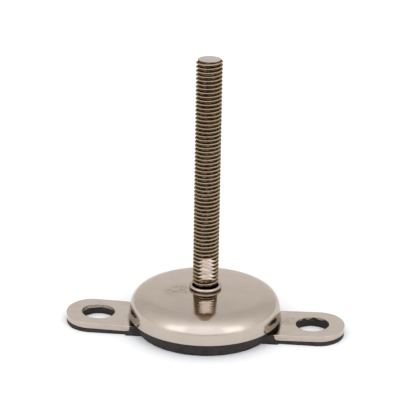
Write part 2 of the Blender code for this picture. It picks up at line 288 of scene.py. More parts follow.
def rounded_slab(loops, low_z, high_z):
    """A flat slab with rounded edges.

    Each loop is (outline, edge radius, material index of its side), and its
    outline keeps the slab on its left: anticlockwise outside, clockwise for a
    hole.
    """
    bm = bmesh.new()
    top_edges = []
    bottom_edges = []
    for outline, edge_r, side_material in loops:
        section = []
        for i in range(EDGE_STEPS + 1):
            angle = math.pi / 2 * i / EDGE_STEPS
            inset = edge_r * (1 - math.sin(angle))
            drop = edge_r * (1 - math.cos(angle))
            section.append((inset, drop))
        rings = []
        for inset, drop in section:
            ring = inset_outline(outline, inset)
            rings.append([bm.verts.new((x, y, high_z - drop)) for x, y in ring])
        for inset, drop in reversed(section):
            ring = inset_outline(outline, inset)
            rings.append([bm.verts.new((x, y, low_z + drop)) for x, y in ring])
        count = len(outline)
        for above, below in zip(rings, rings[1:]):
            for j in range(count):
                k = (j + 1) % count
                face = bm.faces.new((above[j], below[j], below[k], above[k]))
                face.material_index = side_material
        for ring, edges in ((rings[0], top_edges), (rings[-1], bottom_edges)):
            edges += [bm.edges.get((ring[j], ring[(j + 1) % count])) for j in range(count)]
    bmesh.ops.triangle_fill(bm, use_beauty=True, edges=top_edges)
    bmesh.ops.triangle_fill(bm, use_beauty=True, edges=bottom_edges)
    return bm


def lift_lugs(bm, lowest_z):
    """Bend what lies outside the dome and above lowest_z up by the lug's rise."""
    for side in (1, -1):
        geometry = bm.verts[:] + bm.edges[:] + bm.faces[:]
        bmesh.ops.bisect_plane(bm, geom=geometry, plane_co=(side * LUG_BEND_X, 0, 0), plane_no=(1, 0, 0))
    slope = math.tan(math.radians(LUG_RISE_DEG))
    for vert in bm.verts:
        if vert.co.z > lowest_z:
            vert.co.z += max(0.0, abs(vert.co.x) - LUG_BEND_X) * slope


def mesh_object(name, bm, materials=()):
    """Make a named object from a bmesh in mm, in place, shaded smooth."""
    bmesh.ops.recalc_face_normals(bm, faces=bm.faces)
    bmesh.ops.scale(bm, verts=bm.verts, vec=(MM, MM, MM))
    mesh = bpy.data.meshes.new(name)
    bm.to_mesh(mesh)
    bm.free()
    mesh.shade_smooth()
    mesh.set_sharp_from_angle(angle=SMOOTH_ANGLE)
    for mat in materials:
        mesh.materials.append(mat)
    obj = bpy.data.objects.new(name, mesh)
    bpy.context.scene.collection.objects.link(obj)
    return obj


def combine(obj, bm, operation):
    """Join or cut with a guide mesh in mm, and apply the result."""
    guide = mesh_object(obj.name + "_guide", bm)
    modifier = obj.modifiers.new("combine", "BOOLEAN")
    modifier.operation = operation
    modifier.solver = "EXACT"
    modifier.object = guide
    apply_modifiers(obj)
    guide_mesh = guide.data
    bpy.data.objects.remove(guide)
    bpy.data.meshes.remove(guide_mesh)


def apply_modifiers(obj):
    graph = bpy.context.evaluated_depsgraph_get()
    applied = bpy.data.meshes.new_from_object(obj.evaluated_get(graph))
    before = obj.data
    obj.modifiers.clear()
    obj.data = applied
    applied.name = obj.name
    bpy.data.meshes.remove(before)


def place(obj, body, node):
    """The piece stands for a CAD node, which it hides, and moves with its body."""
    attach(obj, body)
    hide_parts(node)


# ----------------------------------------------------------------- materials

class NodeTree:
    """A node tree, with short ways to add and join its nodes."""

    def __init__(self, tree):
        self.tree = tree

    def link(self, source, target):
        self.tree.links.new(source, target)

    def feed(self, value, socket):
        if isinstance(value, bpy.types.NodeSocket):
            self.link(value, socket)
        else:
            socket.default_value = value

    def math_vector(self, operation, first, second=None, scale=None):
        node = self.tree.nodes.new("ShaderNodeVectorMath")
        node.operation = operation
        self.feed(first, node.inputs[0])
        if second is not None:
            self.feed(second, node.inputs[1])
        if scale is not None:
            node.inputs["Scale"].default_value = scale
        gives_number = operation in ("LENGTH", "DISTANCE", "DOT_PRODUCT")
        return node.outputs["Value" if gives_number else "Vector"]

    def math(self, operation, first, second=0.0):
        node = self.tree.nodes.new("ShaderNodeMath")
        node.operation = operation
        self.feed(first, node.inputs[0])
        self.feed(second, node.inputs[1])
        return node.outputs[0]

    def remap(self, value, low, high, new_low, new_high):
        node = self.tree.nodes.new("ShaderNodeMapRange")
        node.interpolation_type = "SMOOTHSTEP"
        self.link(value, node.inputs["Value"])
        limits = {"From Min": low, "From Max": high, "To Min": new_low, "To Max": new_high}
        for socket, number in limits.items():
            node.inputs[socket].default_value = number
        return node.outputs["Result"]


class NodeSheet(NodeTree):
    """A material's nodes, which work on positions in mm."""

    def __init__(self, name):
        self.mat = bpy.data.materials.new(name)
        self.mat.use_nodes = True
        super().__init__(self.mat.node_tree)
        self.shader = self.tree.nodes["Principled BSDF"]
        coordinates = self.tree.nodes.new("ShaderNodeTexCoord")
        self.position = self.math_vector("SCALE", coordinates.outputs["Object"], scale=1 / MM)

    def noise(self, stretch, detail=3.0, roughness=0.5):
        """Noise whose features are about 1/stretch mm long on each axis."""
        node = self.tree.nodes.new("ShaderNodeTexNoise")
        node.inputs["Scale"].default_value = 1.0
        node.inputs["Detail"].default_value = detail
        node.inputs["Roughness"].default_value = roughness
        self.link(self.math_vector("MULTIPLY", self.position, stretch), node.inputs["Vector"])
        return node.outputs["Fac"]

    def spread(self, value, new_low, new_high):
        """Spread the usual range of a noise between two values."""
        return self.remap(value, NOISE_LOW, NOISE_HIGH, new_low, new_high)

    def mix(self, factor, first, second):
        node = self.tree.nodes.new("ShaderNodeMix")
        node.data_type = "RGBA"
        self.feed(factor, node.inputs["Factor"])
        self.feed(first, node.inputs[MIX_COLOR_A])
        self.feed(second, node.inputs[MIX_COLOR_B])
        return node.outputs[MIX_COLOR_RESULT]

    def axis_distance(self):
        """Distance from the stud's axis, in mm."""
        flat = self.math_vector("MULTIPLY", self.position, (1.0, 1.0, 0.0))
        return self.math_vector("LENGTH", flat)

    def spot(self, center, radius):
        """1 round a point, falling to 0 at a radius."""
        away = self.math_vector("DISTANCE", self.position, center)
        return self.remap(away, radius * SPOT_CORE_SHARE, radius, 1.0, 0.0)

    def mottled_spot(self, center, radius):
        """A spot that is broken up into flecks."""
        mottle = self.noise((0.5, 0.5, 0.5), detail=4.0, roughness=0.6)
        return self.math("MULTIPLY", self.spot(center, radius), self.remap(mottle, 0.4, 0.6, 0.1, 1.0))

    def bump(self, height, distance, strength, under=None):
        """Bump of a height in mm, over another bump if one is given."""
        node = self.tree.nodes.new("ShaderNodeBump")
        node.inputs["Strength"].default_value = strength
        node.inputs["Distance"].default_value = distance * MM
        self.link(height, node.inputs["Height"])
        if under is not None:
            self.link(under, node.inputs["Normal"])
        return node.outputs["Normal"]

    def finish(self, color, metallic, roughness, normal=None):
        self.feed(color, self.shader.inputs["Base Color"])
        self.shader.inputs["Metallic"].default_value = metallic
        self.feed(roughness, self.shader.inputs["Roughness"])
        if normal is not None:
            self.link(normal, self.shader.inputs["Normal"])
        return self.mat


STEEL_COLOR = (0.525, 0.45, 0.39, 1.0)
STEEL_STAIN = (0.40, 0.31, 0.23, 1.0)
# painted shade on the lugs next to the dome
STEEL_JOIN_SHADE = (0.10, 0.075, 0.05, 1.0)
STEEL_SMUDGE = (0.27, 0.21, 0.13, 1.0)
FLAT_COLOR = (0.72, 0.63, 0.56, 1.0)
STUD_END_COLOR = (0.47, 0.40, 0.35, 1.0)
DOME_EDGE_TINT = (0.84, 0.82, 0.80, 1.0)
THREAD_EDGE_TINT = (0.40, 0.34, 0.27, 1.0)
COLLAR_EDGE_TINT = (0.60, 0.56, 0.52, 1.0)
CREST_COLOR = (0.47, 0.375, 0.262, 1.0)
GROOVE_COLOR = (0.060, 0.034, 0.012, 1.0)
WELD_BRIGHT = (0.42, 0.38, 0.34, 1.0)
WELD_DULL = (0.16, 0.12, 0.09, 1.0)
RUBBER_DARK = (0.010, 0.007, 0.006, 1.0)
RUBBER_DUSTY = (0.028, 0.021, 0.017, 1.0)
RUBBER_SPECULAR = 0.3
ACETAL_LIGHT = (0.80, 0.78, 0.74, 1.0)
ACETAL_DARK = (0.70, 0.68, 0.63, 1.0)
NITRILE_DARK = (0.012, 0.012, 0.012, 1.0)
NITRILE_LIGHT = (0.03, 0.028, 0.026, 1.0)

# Places of the marks on the steel, and how strongly they show
SMUDGE_CENTER = (-13.0, -4.0, 21.0)
SMUDGE_R = 9.0
SMUDGE_SHARE = 0.6
LUG_STAIN_CENTER = (42.0, 2.0, 4.9)
LUG_STAIN_R = 7.5
LUG_STAIN_SHARE = 0.5
JOIN_SHADE_INNER_R = 37.2            # painted shade lies where the lugs leave the dome
JOIN_SHADE_OUTER_R = 38.8
JOIN_SHADE_SHARE = 0.7
GROOVE_DARK_FULL_DEPTH = 0.75       # below the thread's crest
GROOVE_DARK_START_DEPTH = 0.05

NOISE_LOW = 0.3                 # most of a noise lies between these two
NOISE_HIGH = 0.7
SPOT_CORE_SHARE = 0.3           # share of a spot's radius that shows it in full
MIX_COLOR_A = 6                 # the Mix node's colour sockets, whose names aren't unique
MIX_COLOR_B = 7
MIX_COLOR_RESULT = 2


def dome_steel():
    """Polished pressing: broad waviness, fine polish marks and a faint smudge."""
    sheet = NodeSheet("dome_polished_steel")
    blotch = sheet.noise((0.12, 0.12, 0.12), detail=4.0)
    fine = sheet.noise((1.6, 1.6, 1.6), detail=4.0, roughness=0.6)
    smudge = sheet.mottled_spot(SMUDGE_CENTER, SMUDGE_R)
    tone = sheet.remap(blotch, 0.35, 0.7, 0.0, 0.16)
    color = sheet.mix(tone, STEEL_COLOR, STEEL_STAIN)
    color = sheet.mix(sheet.math("MULTIPLY", smudge, SMUDGE_SHARE), color, STEEL_SMUDGE)
    roughness = sheet.math("ADD", sheet.spread(fine, 0.07, 0.13), sheet.math("MULTIPLY", tone, 0.1))
    waves = sheet.bump(sheet.noise((0.09, 0.09, 0.09), detail=1.0), 0.1, 0.25)
    marks = sheet.bump(fine, 0.01, 0.15, under=waves)
    sheet.shader.inputs["Specular Tint"].default_value = DOME_EDGE_TINT
    return sheet.finish(color, 1.0, roughness, marks)


def lug_steel():
    """Flat-ground top with a grain along the strap, brown stains and painted shade next to the dome."""
    sheet = NodeSheet("lug_ground_steel")
    grain = sheet.noise((0.25, 5.0, 5.0), detail=4.0, roughness=0.6)
    blotch = sheet.noise((0.16, 0.2, 0.2), detail=4.0)
    stain = sheet.mottled_spot(LUG_STAIN_CENTER, LUG_STAIN_R)
    # painted shade on the lug's top, darkest where it leaves the dome
    join_shade = sheet.remap(sheet.axis_distance(), JOIN_SHADE_INNER_R, JOIN_SHADE_OUTER_R, JOIN_SHADE_SHARE, 0.0)
    tone = sheet.remap(blotch, 0.4, 0.7, 0.0, 0.22)
    color = sheet.mix(tone, STEEL_COLOR, STEEL_STAIN)
    color = sheet.mix(sheet.math("MULTIPLY", stain, LUG_STAIN_SHARE), color, STEEL_SMUDGE)
    color = sheet.mix(join_shade, color, STEEL_JOIN_SHADE)
    roughness = sheet.math("ADD", sheet.spread(grain, 0.12, 0.22), sheet.math("MULTIPLY", tone, 0.1))
    lines = sheet.bump(grain, 0.02, 0.2)
    return sheet.finish(color, 1.0, roughness, lines)


def hole_wall_steel():
    """Punched hole wall, with streaks along the punch's travel."""
    sheet = NodeSheet("punched_hole_steel")
    streak = sheet.noise((2.2, 2.2, 0.15), detail=4.0, roughness=0.6)
    color = sheet.mix(sheet.remap(streak, 0.35, 0.65, 0.0, 0.8), STEEL_COLOR, STEEL_STAIN)
    roughness = sheet.spread(streak, 0.2, 0.4)
    return sheet.finish(color, 1.0, roughness, sheet.bump(streak, 0.15, 0.6))


def thread_steel():
    """Rolled thread: bright crests over grooves that turn dark brown with depth."""
    sheet = NodeSheet("threaded_steel")
    patch = sheet.noise((0.7, 0.7, 0.35), detail=4.0, roughness=0.6)
    full_r = THREAD_MAJOR_R - GROOVE_DARK_FULL_DEPTH
    start_r = THREAD_MAJOR_R - GROOVE_DARK_START_DEPTH
    # the colour darkens with depth below the crest, to near black at the root
    depth = sheet.remap(sheet.axis_distance(), full_r, start_r, 1.0, 0.0)
    groove_darkening = sheet.math("MULTIPLY", depth, sheet.remap(patch, 0.25, 0.65, 0.5, 1.0))
    color = sheet.mix(groove_darkening, CREST_COLOR, GROOVE_COLOR)
    roughness = sheet.spread(patch, 0.16, 0.28)
    sheet.shader.inputs["Specular Tint"].default_value = THREAD_EDGE_TINT
    return sheet.finish(color, 1.0, roughness, sheet.bump(patch, 0.04, 0.2))


def milled_steel(name, color):
    """Bare milled metal with faint tool lines."""
    sheet = NodeSheet(name)
    lines = sheet.noise((0.4, 0.4, 6.0), detail=3.0)
    patch = sheet.noise((0.5, 0.5, 0.5), detail=3.0)
    color = sheet.mix(sheet.remap(patch, 0.35, 0.7, 0.0, 0.25), color, STEEL_STAIN)
    roughness = sheet.spread(patch, 0.22, 0.32)
    return sheet.finish(color, 1.0, roughness, sheet.bump(lines, 0.01, 0.04))


def turned_steel():
    """Turned socket housing with fine rings round its axis."""
    sheet = NodeSheet("turned_steel")
    rings = sheet.noise((0.3, 0.3, 7.0), detail=3.0)
    color = sheet.mix(sheet.spread(rings, 0.0, 0.25), STEEL_COLOR, STEEL_STAIN)
    roughness = sheet.spread(rings, 0.12, 0.2)
    sheet.shader.inputs["Specular Tint"].default_value = COLLAR_EDGE_TINT
    return sheet.finish(color, 1.0, roughness, sheet.bump(rings, 0.02, 0.15))


def weld_steel():
    sheet = NodeSheet("weld_bead_steel")
    scale = sheet.noise((1.2, 1.2, 1.2), detail=5.0, roughness=0.65)
    color = sheet.mix(sheet.spread(scale, 0.0, 1.0), WELD_BRIGHT, WELD_DULL)
    return sheet.finish(color, 1.0, sheet.spread(scale, 0.35, 0.6), sheet.bump(scale, 0.15, 0.6))


def pad_rubber():
    """Moulded black rubber, grey-brown with dust, finely pitted."""
    sheet = NodeSheet("moulded_rubber")
    grain = sheet.noise((2.5, 2.5, 2.5), detail=5.0, roughness=0.6)
    dust = sheet.noise((0.35, 0.35, 0.5), detail=4.0, roughness=0.6)
    color = sheet.mix(sheet.remap(dust, 0.35, 0.7, 0.0, 1.0), RUBBER_DARK, RUBBER_DUSTY)
    roughness = sheet.spread(dust, 0.5, 0.75)
    sheet.shader.inputs["Specular IOR Level"].default_value = RUBBER_SPECULAR
    return sheet.finish(color, 0.0, roughness, sheet.bump(grain, 0.12, 0.5))


def seat_plastic():
    sheet = NodeSheet("acetal_plastic")
    cloud = sheet.noise((0.4, 0.4, 0.4), detail=3.0)
    color = sheet.mix(sheet.spread(cloud, 0.0, 1.0), ACETAL_LIGHT, ACETAL_DARK)
    return sheet.finish(color, 0.0, sheet.spread(cloud, 0.35, 0.5), sheet.bump(cloud, 0.03, 0.2))


def seal_rubber():
    sheet = NodeSheet("nitrile_rubber")
    cloud = sheet.noise((1.5, 1.5, 1.5), detail=4.0)
    color = sheet.mix(sheet.spread(cloud, 0.0, 1.0), NITRILE_DARK, NITRILE_LIGHT)
    return sheet.finish(color, 0.0, sheet.spread(cloud, 0.4, 0.6), sheet.bump(cloud, 0.04, 0.3))


# -------------------------------------------------------------------- pieces

class Sizes:
    """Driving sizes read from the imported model, in mm."""

    def __init__(self):
        self.stud_top_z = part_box("ball_stud")[1].z / MM
        self.dome_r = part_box("dome_shell")[1].x / MM
        self.dome_rim_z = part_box("dome_shell")[0].z / MM
        self.strap_half_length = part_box("lug_plate")[1].x / MM
        self.strap_half_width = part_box("lug_plate")[1].y / MM


def stud_limit(size, z):
    """Largest stud radius at a height: the chamfer on top, the relief below."""
    chamfer_r = THREAD_MAJOR_R - STUD_CHAMFER + (size.stud_top_z - z)
    relief_r = NECK_R + RELIEF_SLOPE * (z - NECK_TOP_Z)
    return min(THREAD_MAJOR_R, chamfer_r, relief_r)


def thread_profile():
    """(phase in pitches, drop in mm) across one pitch, from crest to crest."""
    flank_width = THREAD_DEPTH * math.tan(math.radians(THREAD_FLANK_DEG)) / THREAD_PITCH
    root_edge = CREST_HALF_WIDTH + flank_width
    root_half_width = 0.5 - root_edge
    inward = [(0.0, 0.0), (CREST_HALF_WIDTH * CREST_LEVEL_SHARE, 0.0), (CREST_HALF_WIDTH, CREST_ROUND)]
    for share in FLANK_SHARES:
        phase = CREST_HALF_WIDTH + flank_width * share
        inward.append((phase, CREST_ROUND + (THREAD_DEPTH - CREST_ROUND) * share))
    inward.append((root_edge + root_half_width * ROOT_EDGE_SHARE, THREAD_DEPTH * ROOT_EDGE_DEPTH))
    inward.append((0.5, THREAD_DEPTH))
    outward = [(1.0 - phase, drop) for phase, drop in reversed(inward[1:-1])]
    return inward + outward


def add_thread(bm, size, segments):
    """A right-hand rolled thread as an open tube that ends in a flat ring each way."""
    start_z = NECK_TOP_Z - THREAD_LEAD_IN * THREAD_PITCH
    turns = math.ceil((size.stud_top_z - start_z) / THREAD_PITCH + 1)
    section = thread_profile()
    heights = []
    for turn in range(turns):
        heights += [(turn + phase, drop) for phase, drop in section]

    def point(row, column):
        height, drop = heights[row]
        angle = 2 * math.pi * column / segments
        z = start_z + THREAD_PITCH * (height + column / segments)
        z = min(max(z, NECK_TOP_Z), size.stud_top_z)
        radius = stud_limit(size, z)
        if NECK_TOP_Z < z < size.stud_top_z:
            radius = min(radius, THREAD_MAJOR_R - drop)
        return bm.verts.new((radius * math.cos(angle), radius * math.sin(angle), z))

    row_count = len(heights)
    one_turn = len(section)
    rows = [[point(row, column) for column in range(segments)] for row in range(row_count)]
    for row in range(row_count - 1):
        this = rows[row]
        above = rows[row + 1]
        for column in range(segments - 1):
            bm.faces.new((this[column], this[column + 1], above[column + 1], above[column]))
        if row + 1 + one_turn < row_count:
            # The seam joins each row's end to the start of the row one turn higher up.
            bm.faces.new((this[-1], rows[row + one_turn][0], rows[row + 1 + one_turn][0], above[-1]))


def make_stud(size, materials):
    flat_angle = angle_at_height(BALL_R, -BALL_FLAT_DROP)
    neck_angle = math.degrees(math.acos(NECK_R / BALL_R))
    profile = [(0.0, BALL_Z - BALL_FLAT_DROP)]
    profile += arc(0.0, BALL_Z, BALL_R, flat_angle, neck_angle, BALL_STEPS)
    profile += [(NECK_R, NECK_TOP_Z)]
    bm = turned(profile, STUD_SEGMENTS, closed=False)
    add_thread(bm, size, STUD_SEGMENTS)
    top_face = [(0.0, size.stud_top_z), (stud_limit(size, size.stud_top_z), size.stud_top_z)]
    turned(top_face, STUD_SEGMENTS, closed=False, bm=bm)
    bmesh.ops.remove_doubles(bm, verts=bm.verts, dist=MERGE_DISTANCE)
    bmesh.ops.dissolve_degenerate(bm, edges=bm.edges, dist=MERGE_DISTANCE)
    stud = mesh_object("stud", bm, materials)
    for side in (-1, 1):
        near_y, far_y = sorted((side * FLATS_ACROSS / 2, side * (THREAD_MAJOR_R + CUTTER_EXTRA)))
        reach_x = THREAD_MAJOR_R + CUTTER_EXTRA
        cutter = box((-reach_x, near_y, FLATS_LOW_Z), (reach_x, far_y, FLATS_HIGH_Z))
        turn = Matrix.Rotation(math.radians(FLATS_TURN_DEG), 3, "Z")
        bmesh.ops.rotate(cutter, verts=cutter.verts, matrix=turn)
        combine(stud, cutter, "DIFFERENCE")
    mark_milled_faces(stud, size)
    stud.data.shade_smooth()
    stud.data.set_sharp_from_angle(angle=SMOOTH_ANGLE)
    return stud


def mark_milled_faces(stud, size):
    """Give the wrench flats and the stud's end their own bare-metal material."""
    turn = math.radians(FLATS_TURN_DEG)
    across = Vector((-math.sin(turn), math.cos(turn), 0.0))
    for face in stud.data.polygons:
        center = face.center / MM
        off_flat = abs(abs(center.dot(across)) - FLATS_ACROSS / 2)
        squarely = abs(face.normal.dot(across)) > FLAT_ALIGNMENT
        at_height = FLATS_LOW_Z < center.z < FLATS_HIGH_Z
        on_end = center.z > size.stud_top_z - FLAT_TOLERANCE
        if off_flat < FLAT_TOLERANCE and squarely and at_height:
            face.material_index = 1
        elif on_end:
            face.material_index = 2
        else:
            face.material_index = 0


def make_seal():
    ring_r = NECK_R + FIT_GAP / 2 + SEAL_TUBE_R
    profile = arc(ring_r, SEAL_Z, SEAL_TUBE_R, 0, 360, SEAL_STEPS)[:-1]
    return mesh_object("neck_ring", turned(profile, SMALL_SEGMENTS), [seal_rubber()])


def make_seat():
    bottom_z = STRAP_TOP_Z + FIT_GAP
    floor_z = bottom_z + SEAT_FLOOR
    cup_r = BALL_R + FIT_GAP
    rim_angle = angle_at_height(cup_r, SEAT_TOP_Z - BALL_Z)
    floor_angle = angle_at_height(cup_r, floor_z - BALL_Z)
    profile = [(0.0, bottom_z)]
    profile += arc(SEAT_R - SEAT_EDGE, bottom_z + SEAT_EDGE, SEAT_EDGE, -90, 0, EDGE_STEPS)
    profile += arc(SEAT_R - SEAT_EDGE, SEAT_TOP_Z - SEAT_EDGE, SEAT_EDGE, 0, 90, EDGE_STEPS)
    profile += arc(0.0, BALL_Z, cup_r, rim_angle, floor_angle, CUP_STEPS)
    profile += [(0.0, floor_z)]
    return mesh_object("ball_cup", turned(profile, SMALL_SEGMENTS), [seat_plastic()])


def make_housing():
    bottom_z = STRAP_TOP_Z + FIT_GAP
    cup_r = BALL_R + FIT_GAP
    mouth_r = COLLAR_RING_R - COLLAR_TUBE_R
    throat_angle = math.degrees(math.acos(mouth_r / cup_r))
    bore_r = SEAT_R + FIT_GAP
    profile = [(bore_r, bottom_z), (HOUSING_R, bottom_z)]
    bevel_z = HOUSING_TOP_Z - HOUSING_BEVEL
    profile += arc(HOUSING_R - HOUSING_BEVEL, bevel_z, HOUSING_BEVEL, 0, 90, BEVEL_STEPS)
    profile += [(COLLAR_NECK_R, HOUSING_TOP_Z), (COLLAR_NECK_R, COLLAR_Z - COLLAR_TUBE_R)]
    profile += arc(COLLAR_RING_R, COLLAR_Z, COLLAR_TUBE_R, -90, 180, COLLAR_STEPS)
    profile += arc(0.0, BALL_Z, cup_r, throat_angle, 0, THROAT_STEPS)
    profile += [(cup_r, SEAT_TOP_Z + FIT_GAP), (bore_r, SEAT_TOP_Z + FIT_GAP)]
    return mesh_object("collar_housing", turned(profile, ROUND_SEGMENTS), [turned_steel()])


def make_weld():
    """A fillet bead whose face swells with each ripple."""
    inner_r = HOUSING_R + FIT_GAP
    bottom_z = STRAP_TOP_Z + FIT_GAP
    profile = [(inner_r, bottom_z)]
    for i in range(BEAD_STEPS + 1):
        share = i / BEAD_STEPS
        bulge = WELD_BULGE * math.sin(math.pi * share)
        profile.append((inner_r + WELD_LEG * (1 - share) + bulge, bottom_z + WELD_LEG * share + bulge))
    bm = turned(profile, WELD_RIPPLES * RIPPLE_SEGMENTS)
    for vert in bm.verts:
        angle = math.atan2(vert.co.y, vert.co.x)
        share = (vert.co.z - bottom_z) / WELD_LEG
        fade = math.sin(math.pi * min(1.0, max(0.0, share)))
        ripple = WELD_RIPPLE_HEIGHT * math.sin(WELD_RIPPLES * angle + share * WELD_RIPPLE_LAG) * fade
        vert.co += Vector((math.cos(angle), math.sin(angle), 0.0)) * ripple
    return mesh_object("weld_bead", bm, [weld_steel()])


def dome_outside(size):
    """Outer profile of the dome from its centre hole to its rim, with slopes.

    Below the crown, three arcs run into each other, and each one's centre is
    found from the arc below it.
    """
    arcs = []
    center_r = size.dome_r - SIDE_R * math.sin(math.radians(RIM_EDGE_DEG))
    center_z = size.dome_rim_z + DOME_RIM_ROUND - SIDE_R * math.cos(math.radians(RIM_EDGE_DEG))
    radius = SIDE_R
    end = math.radians(RIM_EDGE_DEG)
    stretches = ((SHOULDER_R, SIDE_EDGE_DEG, SIDE_STEPS), (BLEND_R, BLEND_EDGE_DEG, SHOULDER_STEPS),
                 (BLEND_R, CROWN_EDGE_DEG, BLEND_STEPS))
    for next_radius, edge_deg, steps in stretches:
        start = math.radians(edge_deg)
        for i in range(steps):
            angle = end + (start - end) * i / steps
            arcs.append((center_r + radius * math.sin(angle), center_z + radius * math.cos(angle), angle))
        center_r += (radius - next_radius) * math.sin(start)
        center_z += (radius - next_radius) * math.cos(start)
        radius = next_radius
        end = start
    crown_edge_r = center_r + radius * math.sin(end)
    crown_edge_z = center_z + radius * math.cos(end)
    hole_r = COLLAR_NECK_R + FIT_GAP
    points = []
    for i in range(CROWN_STEPS + 1):
        r = hole_r + (crown_edge_r - hole_r) * i / CROWN_STEPS
        slope = math.tan(end) * r / crown_edge_r
        rise = math.tan(end) * (crown_edge_r ** 2 - r ** 2) / (2 * crown_edge_r)
        points.append((r, crown_edge_z + rise, math.atan(slope)))
    return points + arcs[::-1]


def make_dome(size):
    outside = dome_outside(size)
    hole_r = outside[0][0]
    profile = [(r, z) for r, z, _ in outside]
    rim_center_z = size.dome_rim_z + DOME_RIM_ROUND
    profile += arc(size.dome_r - DOME_RIM_ROUND, rim_center_z, DOME_RIM_ROUND, 0, -90, RIM_STEPS)
    inner_r = size.dome_r - DOME_WALL
    profile += arc(inner_r + DOME_RIM_ROUND, rim_center_z, DOME_RIM_ROUND, -90, -180, RIM_STEPS)
    for r, z, angle in reversed(outside[1:]):
        profile.append((r - DOME_WALL * math.sin(angle), z - DOME_WALL * math.cos(angle)))
    profile.append((hole_r, outside[0][1] - DOME_WALL))
    return mesh_object("dome", turned(profile, ROUND_SEGMENTS), [dome_steel()])


def make_strap(size):
    outline = strap_outline(size.strap_half_length, size.strap_half_width)
    loops = [(outline, STRAP_EDGE, 0)]
    for side in (1, -1):
        hole = circle(LUG_HOLE_R, SMALL_SEGMENTS, side * LUG_HOLE_X)
        loops.append((hole[::-1], HOLE_EDGE, 1))
    bm = rounded_slab(loops, STRAP_TOP_Z - STRAP_THICK, STRAP_TOP_Z)
    lift_lugs(bm, 0.0)
    strap = mesh_object("lug_strap", bm, [lug_steel(), hole_wall_steel()])
    strap.modifiers.new("even_normals", "WEIGHTED_NORMAL").keep_sharp = True
    return strap


def pad_profile(top_r):
    profile = [(0.0, 0.0)]
    for r in GROOVE_RADII:
        profile += [(r - GROOVE_WIDTH / 2, 0.0), (r - GROOVE_WIDTH / 2, GROOVE_DEPTH)]
        profile += [(r + GROOVE_WIDTH / 2, GROOVE_DEPTH), (r + GROOVE_WIDTH / 2, 0.0)]
    profile += [(PAD_R - PAD_FOOT_ROUND, 0.0), (PAD_R, PAD_FOOT_ROUND)]
    profile += [(top_r, PAD_SHOULDER_Z), (top_r, PAD_WALL_TOP_Z)]
    profile += [(top_r - PAD_WALL, PAD_WALL_TOP_Z), (top_r - PAD_WALL, PAD_BODY_TOP_Z)]
    profile += [(0.0, PAD_BODY_TOP_Z)]
    return profile


def cheek_outline(side, start_x, floor_z):
    """Side view of the rubber beside the strap, which sweeps out along the tongue."""
    foot_x = CHEEK_END_X + CHEEK_FILLET_R
    outline = [(start_x, 0.0), (foot_x, 0.0)]
    outline += arc(foot_x, floor_z + CHEEK_FILLET_R, CHEEK_FILLET_R, 270, 180, FILLET_STEPS)
    outline += [(CHEEK_END_X, CHEEK_TOP_Z), (start_x, CHEEK_TOP_Z)]
    return [(side * x, z) for x, z in outline]


def make_rubber(size):
    top_r = size.dome_r - DOME_WALL - FIT_GAP
    pad = mesh_object("rubber_sole", turned(pad_profile(top_r), ROUND_SEGMENTS), [pad_rubber()])
    slot_floor_z = STRAP_TOP_Z - STRAP_THICK - FIT_GAP
    tongue_half_width = size.strap_half_width - PAD_TONGUE_INSET
    tongue_half_length = size.strap_half_length - PAD_TONGUE_INSET
    outline = strap_outline(tongue_half_length, tongue_half_width)
    join_r = PAD_R - PAD_JOIN_INSET
    inner_x = math.sqrt(join_r ** 2 - tongue_half_width ** 2)
    cheek_half_width = size.strap_half_width + CHEEK_WIDTH
    cheek_start_x = math.sqrt(join_r ** 2 - cheek_half_width ** 2)
    for side in (1, -1):
        half = [(x if side * x > 0 else side * inner_x, y) for x, y in outline]
        tongue = extruded(list(dict.fromkeys(half)), 0.0, slot_floor_z)
        lift_lugs(tongue, slot_floor_z / 2)
        combine(pad, tongue, "UNION")
        cheeks = extruded_across(cheek_outline(side, cheek_start_x, slot_floor_z), cheek_half_width)
        combine(pad, cheeks, "UNION")
    slot_x = CHEEK_END_X + CHEEK_FILLET_R + CUTTER_EXTRA
    slot_y = size.strap_half_width + FIT_GAP
    combine(pad, box((-slot_x, -slot_y, slot_floor_z), (slot_x, slot_y, STRAP_TOP_Z + FIT_GAP)), "DIFFERENCE")
    for side in (1, -1):
        drill = extruded(circle(PAD_HOLE_R, SMALL_SEGMENTS, side * LUG_HOLE_X), -CUTTER_EXTRA, DRILL_TOP_Z)
        combine(pad, drill, "DIFFERENCE")
    soften(pad)
    return pad


def make_flash(size):
    """Thin rubber flash that climbs the far part of each bolt hole's steel wall."""
    slope = math.tan(math.radians(LUG_RISE_DEG))
    lift = (LUG_HOLE_X - LUG_BEND_X) * slope
    low_z = STRAP_TOP_Z - STRAP_THICK - FIT_GAP
    bm = bmesh.new()
    for side in (1, -1):
        rows = []
        for j in range(FLASH_STEPS + 1):
            share = j / FLASH_STEPS
            angle = math.radians(FLASH_START_DEG + (FLASH_END_DEG - FLASH_START_DEG) * share)
            ragged = noise.noise((share * FLASH_TEETH, FLASH_NOISE_ROW * side, 0.0))
            drop = FLASH_DROP[side] + FLASH_RAG[side] * ragged
            end_fall = max(0.0, abs(share - 0.5) - (0.5 - FLASH_END_SHARE)) * FLASH_END_FALL
            high_z = STRAP_TOP_Z + lift - max(FLASH_LEAST_DROP, drop) - end_fall
            section = [(FLASH_INNER_R, low_z), (FLASH_FOOT_R, low_z), (FLASH_FOOT_R, low_z + lift),
                       (FLASH_OUTER_R, low_z + lift + FIT_GAP), (FLASH_OUTER_R, high_z),
                       (FLASH_INNER_R, high_z - FLASH_LIP_DROP)]
            rows.append([bm.verts.new((side * LUG_HOLE_X + r * math.cos(angle), r * math.sin(angle), z))
                         for r, z in section])
        for row, after in zip(rows, rows[1:]):
            for k in range(len(row)):
                m = (k + 1) % len(row)
                bm.faces.new((row[k], row[m], after[m], after[k]))
        bm.faces.new(rows[0])
        bm.faces.new(rows[-1])
    return mesh_object("hole_flash", bm, [pad_rubber()])


